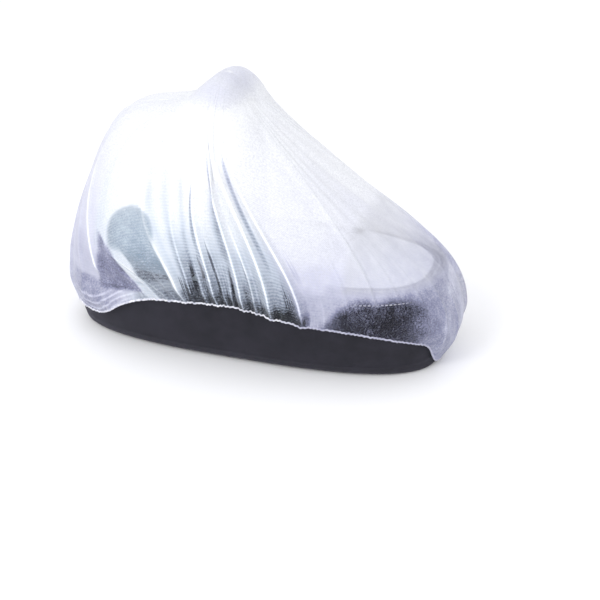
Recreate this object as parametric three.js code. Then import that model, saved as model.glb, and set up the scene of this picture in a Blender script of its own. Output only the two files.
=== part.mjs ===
// Mosquito net for a pram, drawn over the hood and the body of the pram that hold it up.
// Millimetres, +Z up, +X towards the foot end, -Y towards the near side.
// The origin is the middle of the flat underside of the pram body.
import * as THREE from 'three';
import { mergeVertices } from 'three/addons/utils/BufferGeometryUtils.js';

// Pram body: a boat-shaped shell with a rolled rim and a flat floor.
const BODY = {
  halfLength: 443, halfWidth: 205, height: 206, squareness: 2.8,
  endShare: 0.985, sideShare: 0.7, fullness: 3, wall: 10, floor: 14, rimRound: 4,
};
const BODY_ROWS = 9;
const BODY_COLUMNS = 56;

// Quilted liner that lies in the body.
const LINER = { gap: 1.6, wall: 7, mattress: 40, plump: 6, below: 10, rows: 5 };

// Plan outline of the net at its widest, and the crown where it hangs on the front bow.
const PLAN = { middleX: 10, halfLength: 476, halfWidth: 222, squareness: 2.5 };
const CROWN_X = -66;

// Height of the net along its spine, before the ends round off.
const SPINE = [
  { x: -465, z: 300 }, { x: -446, z: 338 }, { x: -424, z: 404 }, { x: -400, z: 446 },
  { x: -364, z: 502 }, { x: -327, z: 538 }, { x: -285, z: 550 }, { x: -218, z: 554 },
  { x: -160, z: 566 }, { x: -122, z: 598 }, { x: -92, z: 622 }, { x: -66, z: 628 },
  { x: -40, z: 614 }, { x: -10, z: 572 }, { x: 20, z: 540 }, { x: 97, z: 472 },
  { x: 218, z: 382 }, { x: 340, z: 312 }, { x: 400, z: 286 }, { x: 436, z: 272 },
  { x: 461, z: 256 }, { x: 492, z: 210 },
];

// Level of the widest line and roundness of the meridian, at the head, the sides and the foot.
const WIDEST = { head: 128, side: 198, foot: 104 };
const ROUND = { head: 5, side: 2.8, foot: 7 };

// Height of the hem by the distance along it from the middle of a side, positive to the foot.
const HEM_LINE = [
  { s: -600, z: 40 }, { s: -512, z: 46 }, { s: -462, z: 54 }, { s: -425, z: 57 },
  { s: -387, z: 59 }, { s: -362, z: 64 }, { s: -325, z: 84 }, { s: -287, z: 110 },
  { s: -250, z: 126 }, { s: -212, z: 137 }, { s: -160, z: 145 }, { s: -100, z: 150 },
  { s: 0, z: 156 }, { s: 60, z: 150 }, { s: 120, z: 138 }, { s: 180, z: 130 },
  { s: 260, z: 124 }, { s: 340, z: 112 }, { s: 430, z: 90 }, { s: 475, z: 74 },
  { s: 494, z: 58 }, { s: 508, z: 36 }, { s: 524, z: 18 }, { s: 550, z: 10 }, { s: 600, z: 9 },
];
const NET = { thick: 1.6, hemThick: 3.2, hemGap: 6 };

// Folds that rise from the hem. s is the place of a fold on the hem, lean is how far it drifts
// along the outline, by is the share of the way up at which that drift is done, high is how far
// it stands out, and reach is the share of the way up at which it has faded.
const NEAR_FOLDS = [
  { s: -552, lean: -12, by: 0.5, high: 7, reach: 0.5 },
  { s: -482, lean: -40, by: 0.5, high: 10, reach: 0.55 },
  { s: -400, lean: -62, by: 0.5, high: 7, reach: 0.5 },
  { s: -322, lean: -108, by: 0.56, high: 14, reach: 0.66 },
  { s: -270, lean: -96, by: 0.3, high: 4, reach: 0.3 },
  { s: -222, lean: -128, by: 0.28, high: 6, reach: 0.26 },
  { s: -184, lean: -152, by: 0.27, high: 7, reach: 0.3 },
  { s: -156, lean: -168, by: 0.26, high: 11, reach: 0.36 },
  { s: -136, lean: -140, by: 0.3, high: 7, reach: 0.28 },
  { s: -114, lean: -112, by: 0.42, high: 14, reach: 0.56 },
  { s: -88, lean: -60, by: 0.4, high: 8, reach: 0.5 },
  { s: -56, lean: -44, by: 0.32, high: 8, reach: 0.24 },
  { s: -30, lean: -62, by: 0.45, high: 14, reach: 0.56 },
  { s: -6, lean: -62, by: 0.4, high: 9, reach: 0.34 },
  { s: 10, lean: -46, by: 0.45, high: 6, reach: 0.24 },
  { s: 36, lean: -112, by: 0.72, high: 18, reach: 0.84 },
  { s: 66, lean: -116, by: 0.64, high: 12, reach: 0.42 },
  { s: 102, lean: -236, by: 1, high: 22, reach: 0.94 },
  { s: 132, lean: -150, by: 0.7, high: 6, reach: 0.2 },
  { s: 174, lean: -190, by: 0.72, high: 20, reach: 0.62 },
  { s: 222, lean: -100, by: 0.6, high: 4, reach: 0.28 },
  { s: 272, lean: -50, by: 0.6, high: 4, reach: 0.4 },
  { s: 330, lean: 0, by: 0.6, high: 5, reach: 0.7 },
  { s: 392, lean: -6, by: 0.6, high: 4, reach: 0.42 },
  { s: 448, lean: -4, by: 0.6, high: 4, reach: 0.36 },
  { s: 504, lean: 0, by: 0.6, high: 5, reach: 0.34 },
  { s: 556, lean: 4, by: 0.6, high: 5, reach: 0.3 },
];
// The far side, which is plainer.
const FAR_FOLDS = { count: 18, from: -510, to: 510, lean: -0.24, by: 0.7, high: 12, reach: 0.5 };
const HEM_FOLD_SHARE = 0.3;
const FOLD_FULL_AT = 0.09;
const FOLD_SIDE = 0.4;

// The net tucks in along the rim near the head corner, and a lobe hangs below that line.
const TUCK = { from: -420, to: -140, headZ: 156, footZ: 188, high: 28, deep: 7 };
const LOBE = { from: -520, to: -190, z: 108, high: 48, proud: 14 };

// Rings of the net: the share of the way from the hem to the crown, and the columns left out.
const RINGS = [
  { at: 0, every: 1 }, { at: 0.014, every: 1 }, { at: 0.04, every: 1 }, { at: 0.075, every: 1 },
  { at: 0.12, every: 1 }, { at: 0.17, every: 1 }, { at: 0.23, every: 1 }, { at: 0.3, every: 1 },
  { at: 0.375, every: 1 }, { at: 0.45, every: 2 }, { at: 0.52, every: 2 }, { at: 0.59, every: 2 },
  { at: 0.66, every: 2 }, { at: 0.73, every: 2 }, { at: 0.8, every: 2 }, { at: 0.88, every: 4 },
  { at: 0.95, every: 8 },
];
const HEM_RINGS = 2;

// Hood: a fabric shell from the front bow to the head end, with a pivot disc on each side.
const HOOD = {
  foot: 207, columns: 29, flatness: 0.4,
  outer: [0.966, 0.95, 0.966], inner: [0.958, 0.936, 0.958],
};
const HOOD_ROWS = [0, 0.12, 0.26, 0.42, 0.58, 0.72, 0.85, 0.94, 1];
const BOW = { radius: 6, gap: 0.5, sides: 10, steps: 30, inside: 0.95 };
const PIVOT = { x: -96, y: 209.4, z: 233, radius: 24, thick: 3, sides: 24 };

// Foot cover: a domed sheet that closes the foot end of the body.
const COVER = { x: 214, inset: 8, thick: 4, dome: 30, sag: 12, columns: 25, rows: 6, gap: 0.5 };

const COLOURS = {
  net: 0xf4f5fa, body: 0x24242c, liner: 0xd9dce4, hood: 0xb4c2cc, front_bow: 0xccd0da,
  pivot: 0x1c1c22, foot_cover: 0xbfc3d2,
};

const clamp01 = (v) => Math.min(1, Math.max(0, v));
const smooth = (v) => {
  const t = clamp01(v);
  return t * t * (3 - 2 * t);
};
const bump = (v) => (Math.abs(v) < 1 ? (1 - v * v) ** 2 : 0);
const mix = (a, b, t) => a + (b - a) * t;

// Reads a table of rows at a place, with a smooth cubic between the rows.
function readTable(rows, key, value, place) {
  const last = rows.length - 1;
  if (place <= rows[0][key]) return rows[0][value];
  if (place >= rows[last][key]) return rows[last][value];
  let i = 0;
  while (rows[i + 1][key] < place) i += 1;
  const slope = (j) => {
    const a = rows[Math.max(0, j - 1)];
    const b = rows[Math.min(last, j + 1)];
    return (b[value] - a[value]) / (b[key] - a[key]);
  };
  const span = rows[i + 1][key] - rows[i][key];
  const t = (place - rows[i][key]) / span;
  const a = rows[i][value];
  const b = rows[i + 1][value];
  const rise = t * t * (3 - 2 * t);
  const bendA = t * (1 - t) ** 2 * slope(i) * span;
  const bendB = t * t * (t - 1) * slope(i + 1) * span;
  return a + (b - a) * rise + bendA + bendB;
}

// Half of the plan outline, from the head tip to the foot tip, with the length walked along it.
function walkOutline(plan, steps = 720) {
  const points = [];
  for (let i = 0; i <= steps; i += 1) {
    const a = Math.PI * (1 - i / steps);
    const c = Math.cos(a);
    const s = Math.max(0, Math.sin(a));
    const x = plan.middleX + plan.halfLength * Math.sign(c) * Math.abs(c) ** (2 / plan.squareness);
    points.push({ x, y: plan.halfWidth * s ** (2 / plan.squareness), walked: 0 });
  }
  for (let i = 1; i <= steps; i += 1) {
    const d = Math.hypot(points[i].x - points[i - 1].x, points[i].y - points[i - 1].y);
    points[i].walked = points[i - 1].walked + d;
  }
  return points;
}

const OUTLINE = walkOutline(PLAN);
const QUARTER = OUTLINE[OUTLINE.length - 1].walked / 2;

// Point of the outline at a distance s along it from the middle of the side.
function outlineAt(s) {
  const walked = Math.min(2 * QUARTER, Math.max(0, s + QUARTER));
  let low = 0;
  let high = OUTLINE.length - 1;
  while (high - low > 1) {
    const mid = (low + high) >> 1;
    if (OUTLINE[mid].walked > walked) high = mid;
    else low = mid;
  }
  const a = OUTLINE[low];
  const b = OUTLINE[high];
  const t = (walked - a.walked) / (b.walked - a.walked);
  return { x: mix(a.x, b.x, t), y: mix(a.y, b.y, t) };
}

// Outer wall of the pram body at a height, towards a plan direction, pushed out by an offset.
function bodyWall(direction, z, offset) {
  const h = 1 - Math.min(1, Math.max(0, z / BODY.height));
  const full = (1 - h ** BODY.fullness) ** (1 / BODY.fullness);
  const a = BODY.halfLength * mix(BODY.endShare, 1, full) + offset;
  const b = BODY.halfWidth * mix(BODY.sideShare, 1, full) + offset;
  const n = BODY.squareness;
  const r = (Math.abs(direction.x / a) ** n + Math.abs(direction.y / b) ** n) ** (-1 / n);
  return new THREE.Vector3(direction.x * r, direction.y * r, z);
}

// Value between the head, the sides and the foot for a point of the outline.
function around(x, values) {
  const u = (x - PLAN.middleX) / PLAN.halfLength;
  const end = u < 0 ? values.head : values.foot;
  return mix(values.side, end, Math.abs(u) ** 3);
}

// Height of the net above a share r of the way from the crown to the outline point.
function netHeight(rim, r, x) {
  const base = around(rim.x, WIDEST);
  const round = around(rim.x, ROUND);
  const spine = readTable(SPINE, 'x', 'z', x);
  return base + (spine - base) * Math.sqrt(Math.max(0, 1 - r ** round));
}

// One meridian of the smooth net, from the hem to the crown, as an evenly walked curve.
function meridian(s, side, steps = 56) {
  const rim = outlineAt(s);
  const hemZ = readTable(HEM_LINE, 's', 'z', s);
  const hem = bodyWall(new THREE.Vector2(rim.x, side * rim.y), hemZ, NET.hemGap);
  const widest = new THREE.Vector3(rim.x, side * rim.y, around(rim.x, WIDEST));
  const points = [];
  const lowSteps = 10;
  for (let i = 0; i < lowSteps; i += 1) {
    const t = i / lowSteps;
    const out = Math.sin(t * Math.PI / 2);
    points.push(new THREE.Vector3(
      mix(hem.x, widest.x, out), mix(hem.y, widest.y, out), mix(hem.z, widest.z, t)));
  }
  for (let i = 0; i <= steps; i += 1) {
    const turn = (i / steps) * Math.PI / 2;
    const r = mix(Math.cos(turn), 1 - i / steps, 0.5);
    const x = mix(CROWN_X, rim.x, r);
    points.push(new THREE.Vector3(x, side * rim.y * r, netHeight(rim, r, x)));
  }
  const lengths = [0];
  for (let i = 1; i < points.length; i += 1) {
    lengths.push(lengths[i - 1] + points[i].distanceTo(points[i - 1]));
  }
  return { points, lengths, total: lengths[lengths.length - 1] };
}

function pointOn(curve, share) {
  const want = share * curve.total;
  let i = 1;
  while (i < curve.points.length - 1 && curve.lengths[i] < want) i += 1;
  const t = (want - curve.lengths[i - 1]) / (curve.lengths[i] - curve.lengths[i - 1]);
  return curve.points[i - 1].clone().lerp(curve.points[i], t);
}

// Folds of the far side, spread unevenly by two slow waves.
function farFolds() {
  const folds = [];
  for (let i = 0; i < FAR_FOLDS.count; i += 1) {
    const even = mix(FAR_FOLDS.to, FAR_FOLDS.from, i / (FAR_FOLDS.count - 1));
    const wave = Math.sin(i * 2.4) + 0.5 * Math.sin(i * 5.1);
    folds.push({
      s: even + 9 * wave,
      lean: FAR_FOLDS.lean * even + 8 * wave,
      by: FAR_FOLDS.by,
      high: FAR_FOLDS.high * (1 + 0.3 * Math.sin(i * 3.7)),
      reach: FAR_FOLDS.reach * (1 + 0.35 * Math.sin(i * 1.9 + 1)),
    });
  }
  return folds;
}

// All folds in one loop round the hem: the near side from head to foot, then the far side back.
const onLoop = (fold, side) => (side < 0
  ? { ...fold, loop: fold.s, drift: fold.lean }
  : { ...fold, loop: 2 * QUARTER - fold.s, drift: -fold.lean });
const FOLDS = [
  ...NEAR_FOLDS.map((fold) => onLoop(fold, -1)),
  ...farFolds().map((fold) => onLoop(fold, 1)),
];

// Place of a fold on the loop and its height, at a share of the way up.
function foldAt(index, share) {
  const lap = Math.floor(index / FOLDS.length);
  const fold = FOLDS[index - lap * FOLDS.length];
  return {
    loop: fold.loop + fold.drift * smooth(share / fold.by) + lap * 4 * QUARTER,
    high: fold.high * (1 - smooth(share / fold.reach)),
  };
}

// Place and height of a column: four columns go to each fold, from its ridge to the next ridge.
function columnAt(column, share) {
  const index = Math.floor(column / 4);
  const part = (column % 4) / 4;
  const a = foldAt(index, share);
  const b = foldAt(index + 1, share);
  const start = mix(HEM_FOLD_SHARE, 1, smooth(share / FOLD_FULL_AT));
  const high = [a.high, FOLD_SIDE * a.high, 0, FOLD_SIDE * b.high][column % 4];
  return { loop: mix(a.loop, b.loop, part), high: high * start };
}

// Tuck and lobe of the near head corner.
function cornerSwell(s, side, z) {
  if (side > 0) return 0;
  const along = clamp01((s - TUCK.from) / (TUCK.to - TUCK.from));
  const tuckAcross = bump(2 * along - 1);
  const tuckZ = mix(TUCK.headZ, TUCK.footZ, along ** 2);
  const lobeAcross = bump(2 * (s - LOBE.from) / (LOBE.to - LOBE.from) - 1);
  return LOBE.proud * lobeAcross * bump((z - LOBE.z) / LOBE.high)
    - TUCK.deep * tuckAcross * bump((z - tuckZ) / TUCK.high);
}

// Place of a point on one loop of the net, where near and far sides follow one another.
function placeOnLoop(loop) {
  const lap = ((loop + QUARTER) % (4 * QUARTER) + 4 * QUARTER) % (4 * QUARTER);
  return lap <= 2 * QUARTER
    ? { s: lap - QUARTER, side: -1 }
    : { s: 3 * QUARTER - lap, side: 1 };
}

const meridians = new Map();
function meridianAt(loop) {
  const key = Math.round(loop * 10);
  if (!meridians.has(key)) {
    const { s, side } = placeOnLoop(loop);
    meridians.set(key, meridian(s, side));
  }
  return meridians.get(key);
}

// Smooth net at a loop distance and a share of the way up, with its outward normal.
function smoothNet(loop, share) {
  const step = 8;
  const at = pointOn(meridianAt(loop), share);
  const along = pointOn(meridianAt(loop + step), share).sub(pointOn(meridianAt(loop - step), share));
  const low = Math.max(0, share - 0.02);
  const high = Math.min(1, share + 0.02);
  const up = pointOn(meridianAt(loop), high).sub(pointOn(meridianAt(loop), low));
  return { at, normal: along.cross(up).normalize() };
}

function netPoint(column, share, inset) {
  const { loop, high } = columnAt(column, share);
  const { s, side } = placeOnLoop(loop);
  const { at, normal } = smoothNet(loop, share);
  return at.addScaledVector(normal, high + cornerSwell(s, side, at.z) - inset);
}

// Closed solid from a chain of loops, each with as many points as the one before, or half or
// twice as many. A chain starts and ends with a single point or with a loop filled from its middle.
function loftSolid(chain) {
  const positions = [];
  const faces = [];
  const starts = chain.map((loop) => {
    const start = positions.length;
    positions.push(...loop);
    return start;
  });
  const join = (a, b) => {
    const na = chain[a].length;
    const nb = chain[b].length;
    const big = Math.max(na, nb);
    const A = (i) => starts[a] + Math.floor((i * na) / big) % na;
    const B = (i) => starts[b] + Math.floor((i * nb) / big) % nb;
    for (let i = 0; i < big; i += 1) {
      const a0 = A(i);
      const a1 = starts[a] + (Math.floor(((i + 1) * na) / big) % na);
      const b0 = B(i);
      const b1 = starts[b] + (Math.floor(((i + 1) * nb) / big) % nb);
      if (a0 !== a1) faces.push([a0, a1, b1]);
      if (b0 !== b1) faces.push([a0, b1, b0]);
    }
  };
  for (let k = 1; k < chain.length; k += 1) join(k - 1, k);
  return solidGeometry(positions, faces);
}

// Closed shell between two open grids of points, which may share a pole along their last row.
function shellSolid(outer, inner) {
  const rows = outer.length;
  const columns = outer[0].length;
  const positions = [...outer.flat(), ...inner.flat()];
  const O = (i, j) => i * columns + j;
  const I = (i, j) => rows * columns + i * columns + j;
  const faces = [];
  const quad = (a, b, c, d) => faces.push([a, b, c], [a, c, d]);
  for (let i = 1; i < rows; i += 1) {
    for (let j = 1; j < columns; j += 1) {
      quad(O(i - 1, j - 1), O(i - 1, j), O(i, j), O(i, j - 1));
      quad(I(i - 1, j - 1), I(i, j - 1), I(i, j), I(i - 1, j));
    }
  }
  for (let j = 1; j < columns; j += 1) {
    quad(O(0, j - 1), I(0, j - 1), I(0, j), O(0, j));
    quad(O(rows - 1, j), I(rows - 1, j), I(rows - 1, j - 1), O(rows - 1, j - 1));
  }
  for (let i = 1; i < rows; i += 1) {
    quad(O(i, 0), I(i, 0), I(i - 1, 0), O(i - 1, 0));
    quad(O(i - 1, columns - 1), I(i - 1, columns - 1), I(i, columns - 1), O(i, columns - 1));
  }
  return solidGeometry(positions, faces);
}

function solidGeometry(positions, faces) {
  const raw = new THREE.BufferGeometry();
  const flat = positions.flatMap((p) => p.toArray());
  raw.setAttribute('position', new THREE.Float32BufferAttribute(flat, 3));
  raw.setIndex(faces.flat());
  return mergedSolid(raw);
}

// Geometry with shared points merged and flat faces dropped, turned to face outwards.
function mergedSolid(raw) {
  raw.deleteAttribute('uv');
  raw.deleteAttribute('normal');
  const merged = mergeVertices(raw, 1e-3);
  const at = merged.attributes.position;
  const old = merged.index.array;
  const index = [];
  let volume = 0;
  const [a, b, c] = [new THREE.Vector3(), new THREE.Vector3(), new THREE.Vector3()];
  for (let i = 0; i < old.length; i += 3) {
    const [p, q, r] = [old[i], old[i + 1], old[i + 2]];
    if (p === q || q === r || r === p) continue;
    index.push(p, q, r);
    a.fromBufferAttribute(at, p);
    b.fromBufferAttribute(at, q);
    c.fromBufferAttribute(at, r);
    volume += a.dot(b.cross(c)) / 6;
  }
  if (volume < 0) index.reverse();
  merged.setIndex(index);
  merged.computeVertexNormals();
  return merged;
}

function makeNet() {
  const columns = 4 * FOLDS.length;
  const layer = (inset) => RINGS.map((ring, i) => {
    const loop = [];
    const thick = i < HEM_RINGS ? NET.hemThick : NET.thick;
    for (let column = 0; column < columns; column += ring.every) {
      loop.push(netPoint(column, ring.at, inset * thick));
    }
    return loop;
  });
  const crownZ = readTable(SPINE, 'x', 'z', CROWN_X);
  const top = new THREE.Vector3(CROWN_X, 0, crownZ);
  const under = new THREE.Vector3(CROWN_X, 0, crownZ - NET.thick);
  return loftSolid([[under], ...layer(1).reverse(), ...layer(0), [top]]);
}

// Loop of the pram body's wall at a height, pushed in by an inset.
function bodyLoop(z, inset, height) {
  const loop = [];
  for (let i = 0; i < BODY_COLUMNS; i += 1) {
    const a = (i / BODY_COLUMNS) * 2 * Math.PI;
    const direction = new THREE.Vector2(
      BODY.halfLength * Math.cos(a), BODY.halfWidth * Math.sin(a));
    const point = bodyWall(direction, z, -inset);
    point.z = height ?? z;
    loop.push(point);
  }
  return loop;
}

// Heights that are closer together low down, where the wall turns fastest.
const risingHeights = (from, to, rows) =>
  Array.from({ length: rows }, (_, i) => mix(from, to, (i / (rows - 1)) ** 1.5));

function makeBody() {
  const top = BODY.height - BODY.rimRound;
  const chain = [[new THREE.Vector3(0, 0, 0)]];
  for (const z of risingHeights(0, top, BODY_ROWS)) chain.push(bodyLoop(z, 0));
  chain.push(bodyLoop(top, BODY.rimRound, BODY.height));
  chain.push(bodyLoop(top, BODY.wall - BODY.rimRound, BODY.height));
  const innerHeights = risingHeights(BODY.floor, top, BODY_ROWS - 2).reverse();
  for (const z of innerHeights) chain.push(bodyLoop(z, BODY.wall));
  chain.push([new THREE.Vector3(0, 0, BODY.floor)]);
  return loftSolid(chain);
}

function makeLiner() {
  const outside = BODY.wall + LINER.gap;
  const inside = outside + LINER.wall;
  const low = BODY.floor + LINER.gap;
  const top = BODY.height - LINER.below;
  const bed = low + LINER.mattress;
  const chain = [[new THREE.Vector3(0, 0, low)]];
  for (const z of risingHeights(low, top, LINER.rows + 2)) chain.push(bodyLoop(z, outside));
  for (const z of risingHeights(bed, top, LINER.rows).reverse()) chain.push(bodyLoop(z, inside));
  chain.push([new THREE.Vector3(0, 0, bed + LINER.plump)]);
  return loftSolid(chain);
}

// Distance along the outline at which it has a given x.
function outlineAtX(x) {
  const i = OUTLINE.findIndex((p) => p.x >= x);
  const [a, b] = [OUTLINE[i - 1], OUTLINE[i]];
  return mix(a.walked, b.walked, (x - a.x) / (b.x - a.x)) - QUARTER;
}

// Share of the way out from the crown at which the smooth net comes down to the hood's lower edge.
function shareAtFoot(rim) {
  let low = 0.5;
  let high = 1;
  for (let i = 0; i < 24; i += 1) {
    const mid = (low + high) / 2;
    if (netHeight(rim, mid, mix(CROWN_X, rim.x, mid)) > HOOD.foot) low = mid;
    else high = mid;
  }
  return low;
}

// Point under the smooth net, shrunk towards the middle of the hood's lower edge.
function underNet(rim, side, share, scale) {
  const turn = share * Math.PI / 2;
  const r = shareAtFoot(rim) * mix(Math.cos(turn), 1 - share, HOOD.flatness);
  const x = mix(CROWN_X, rim.x, r);
  const z = netHeight(rim, r, x);
  return new THREE.Vector3(
    CROWN_X + (x - CROWN_X) * scale[0],
    side * rim.y * r * scale[1],
    HOOD.foot + (z - HOOD.foot) * scale[2]);
}

function hoodGrid(scale) {
  const front = outlineAtX(CROWN_X);
  return HOOD_ROWS.map((share) => {
    const row = [];
    for (let i = 0; i < HOOD.columns; i += 1) {
      const across = (i / (HOOD.columns - 1)) * 2 - 1;
      const rim = outlineAt(mix(-QUARTER, front, Math.abs(across)));
      row.push(underNet(rim, Math.sign(across), share, scale));
    }
    return row;
  });
}

function makeHood() {
  return shellSolid(hoodGrid(HOOD.outer), hoodGrid(HOOD.inner));
}

// Bow along the front edge of the hood, from one side over the top to the other.
function makeFrontBow() {
  const rim = outlineAt(outlineAtX(CROWN_X));
  const scale = [1, BOW.inside, BOW.inside];
  const path = [];
  for (let i = 0; i <= BOW.steps; i += 1) {
    const across = (i / BOW.steps) * 2 - 1;
    const point = underNet(rim, Math.sign(across), 1 - Math.abs(across), scale);
    point.x = CROWN_X + BOW.radius + BOW.gap;
    path.push(point);
  }
  const chain = path.map((point, i) => {
    const ahead = path[Math.min(BOW.steps, i + 1)].clone().sub(path[Math.max(0, i - 1)]).normalize();
    const out = new THREE.Vector3(1, 0, 0).cross(ahead);
    const ring = [];
    for (let j = 0; j < BOW.sides; j += 1) {
      const a = (j / BOW.sides) * 2 * Math.PI;
      const spoke = new THREE.Vector3(Math.cos(a) * BOW.radius, 0, 0);
      spoke.addScaledVector(out, Math.sin(a) * BOW.radius);
      ring.push(point.clone().add(spoke));
    }
    return ring;
  });
  return loftSolid([[path[0]], ...chain, [path[BOW.steps]]]);
}

// Flat disc on the outside of the hood, where its bows turn.
function makePivot(side) {
  const disc = new THREE.CylinderGeometry(PIVOT.radius, PIVOT.radius, PIVOT.thick, PIVOT.sides);
  disc.translate(PIVOT.x, side * (PIVOT.y + PIVOT.thick / 2), PIVOT.z);
  return mergedSolid(disc);
}

// Foot cover as a grid of rows from the rim of the body to the middle of its open edge.
function makeFootCover() {
  const grid = (drop) => Array.from({ length: COVER.rows }, (_, i) => {
    const r = 1 - i / (COVER.rows - 1);
    const row = [];
    for (let j = 0; j < COVER.columns; j += 1) {
      const across = (j / (COVER.columns - 1)) * 2 - 1;
      const edge = coverEdge(across);
      const rise = COVER.dome * (1 - r ** 2) - COVER.sag * bump(r * 2 - 1) * (1 - Math.abs(across) ** 4);
      row.push(new THREE.Vector3(
        mix(COVER.x, edge.x, r), edge.y * r, BODY.height + COVER.gap + COVER.thick + rise - drop));
    }
    return row;
  });
  return shellSolid(grid(0), grid(COVER.thick));
}

// Point on the rim of the foot end, from the near side over the tip to the far side.
function coverEdge(across) {
  const a = BODY.halfLength - COVER.inset;
  const b = BODY.halfWidth - COVER.inset;
  const n = BODY.squareness;
  const open = b * (1 - (COVER.x / a) ** n) ** (1 / n);
  const start = Math.atan2(open / b, COVER.x / a);
  const angle = start * across;
  const c = Math.cos(angle);
  const s = Math.sin(angle);
  const r = (Math.abs(c) ** n + Math.abs(s) ** n) ** (-1 / n);
  return { x: a * c * r, y: b * s * r };
}

function material(name, roughness) {
  return new THREE.MeshStandardMaterial({ color: COLOURS[name], roughness, metalness: 0 });
}

function named(name, geometry, look) {
  const mesh = new THREE.Mesh(geometry, look);
  mesh.name = name;
  return mesh;
}

const part = new THREE.Group();
part.add(named('net', makeNet(), material('net', 0.9)));
part.add(named('body', makeBody(), material('body', 0.7)));
part.add(named('liner', makeLiner(), material('liner', 0.95)));
part.add(named('hood', makeHood(), material('hood', 0.9)));
part.add(named('front_bow', makeFrontBow(), material('front_bow', 0.5)));
part.add(named('pivot_near', makePivot(-1), material('pivot', 0.6)));
part.add(named('pivot_far', makePivot(1), material('pivot', 0.6)));
part.add(named('foot_cover', makeFootCover(), material('foot_cover', 0.85)));

export default part;
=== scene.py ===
"""Looks of a pram's mosquito net on the pram body and hood that hold it up.

Tables are in millimetres and repeat those of the CAD source; meshes are in metres.
"""
import math

import bpy
import numpy as np
from mathutils import Matrix, Vector


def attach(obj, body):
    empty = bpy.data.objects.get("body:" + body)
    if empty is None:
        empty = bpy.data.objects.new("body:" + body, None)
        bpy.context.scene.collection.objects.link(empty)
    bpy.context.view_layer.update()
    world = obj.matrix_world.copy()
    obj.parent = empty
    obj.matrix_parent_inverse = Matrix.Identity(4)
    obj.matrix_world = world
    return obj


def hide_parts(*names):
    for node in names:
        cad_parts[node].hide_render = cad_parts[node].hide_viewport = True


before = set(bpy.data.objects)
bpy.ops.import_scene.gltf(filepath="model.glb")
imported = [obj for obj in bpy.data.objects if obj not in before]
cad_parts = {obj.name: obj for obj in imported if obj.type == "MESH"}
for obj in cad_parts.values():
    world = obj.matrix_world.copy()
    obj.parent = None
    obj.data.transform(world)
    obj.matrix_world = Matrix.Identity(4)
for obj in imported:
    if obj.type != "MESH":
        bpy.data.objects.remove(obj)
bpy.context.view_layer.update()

MM = 0.001

# Sizes and tables
BODY = dict(a=443, b=205, high=206, square=2.8, end=0.985, side=0.7, full=3, wall=10, floor=14)
LINER = dict(gap=1.6, wall=7, mattress=40, below=10)
PLAN = dict(middle=10, a=476, b=222, square=2.5)
CROWN_X = -66

SPINE = np.array([
    (-465, 300), (-446, 338), (-424, 404), (-400, 446), (-364, 502), (-327, 538), (-285, 550),
    (-218, 554), (-160, 566), (-122, 598), (-92, 622), (-66, 628), (-40, 614), (-10, 572),
    (20, 540), (97, 472), (218, 382), (340, 312), (400, 286), (436, 272), (461, 256), (492, 210),
], float)
WIDEST = dict(head=128, side=198, foot=104)
ROUND = dict(head=5, side=2.8, foot=7)
HEM_LINE = np.array([
    (-600, 40), (-512, 46), (-462, 54), (-425, 57), (-387, 59), (-362, 64), (-325, 84),
    (-287, 110), (-250, 126), (-212, 137), (-160, 145), (-100, 150), (0, 156), (60, 150),
    (120, 138), (180, 130), (260, 124), (340, 112), (430, 90), (475, 74), (494, 58),
    (508, 36), (524, 18), (550, 10), (600, 9),
], float)
HEM_GAP = 6

# Folds of the near side: place on the hem, drift, share by which it is done, height, reach.
NEAR_FOLDS = [
    (-552, -12, 0.5, 7, 0.5), (-482, -40, 0.5, 10, 0.55), (-400, -62, 0.5, 7, 0.5),
    (-322, -108, 0.56, 14, 0.66), (-270, -96, 0.3, 4, 0.3), (-222, -128, 0.28, 6, 0.26),
    (-184, -152, 0.27, 7, 0.3), (-156, -168, 0.26, 11, 0.36), (-136, -140, 0.3, 7, 0.28),
    (-114, -112, 0.42, 14, 0.56), (-88, -60, 0.4, 8, 0.5), (-56, -44, 0.32, 8, 0.24),
    (-30, -62, 0.45, 14, 0.56), (-6, -62, 0.4, 9, 0.34), (10, -46, 0.45, 6, 0.24),
    (36, -112, 0.72, 18, 0.84), (66, -116, 0.64, 12, 0.42), (102, -236, 1, 22, 0.94),
    (132, -150, 0.7, 6, 0.2), (174, -190, 0.72, 20, 0.62), (222, -100, 0.6, 4, 0.28),
    (272, -50, 0.6, 4, 0.4), (330, 0, 0.6, 5, 0.7), (392, -6, 0.6, 4, 0.42),
    (448, -4, 0.6, 4, 0.36), (504, 0, 0.6, 5, 0.34), (556, 4, 0.6, 5, 0.3),
]
FAR_FOLDS = dict(count=18, start=510, end=-510, lean=-0.24, by=0.7, high=12, reach=0.5)
HEM_FOLD_SHARE = 0.3
FOLD_FULL_AT = 0.09
CREST = dict(width=1.9, full_height=9)
RIDGE = dict(reach=5, by_height=0.45, foot_side=0.72, head_side=1.15)
TUCK = dict(start=-420, end=-140, head_z=156, foot_z=188, high=28, deep=7)
LOBE = dict(start=-520, end=-190, z=108, high=48, proud=14)

HOOD = dict(foot=207, outer=(0.966, 0.95, 0.966), inner=(0.958, 0.936, 0.958))
BOW = dict(radius=6, gap=0.5, inside=0.95, less=0.2, uneven=0.15, seam=0.7, corner=2.3)
PIVOT = dict(x=-96, y=209.4, z=233, thick=3)
COVER = dict(x=214, inset=8, thick=4, dome=30, sag=12, gap=0.5, border=24)


# Small helpers
def smooth(v):
    t = np.clip(v, 0, 1)
    return t * t * (3 - 2 * t)


def bump(v):
    return np.where(np.abs(v) < 1, (1 - np.minimum(1, v * v)) ** 2, 0.0)


def mix(a, b, t):
    return a + (b - a) * t


def bell(v, middle, half):
    return np.exp(-((v - middle) / half) ** 2)


def unit(v):
    return v / np.maximum(1e-9, np.linalg.norm(v, axis=-1, keepdims=True))


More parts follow.
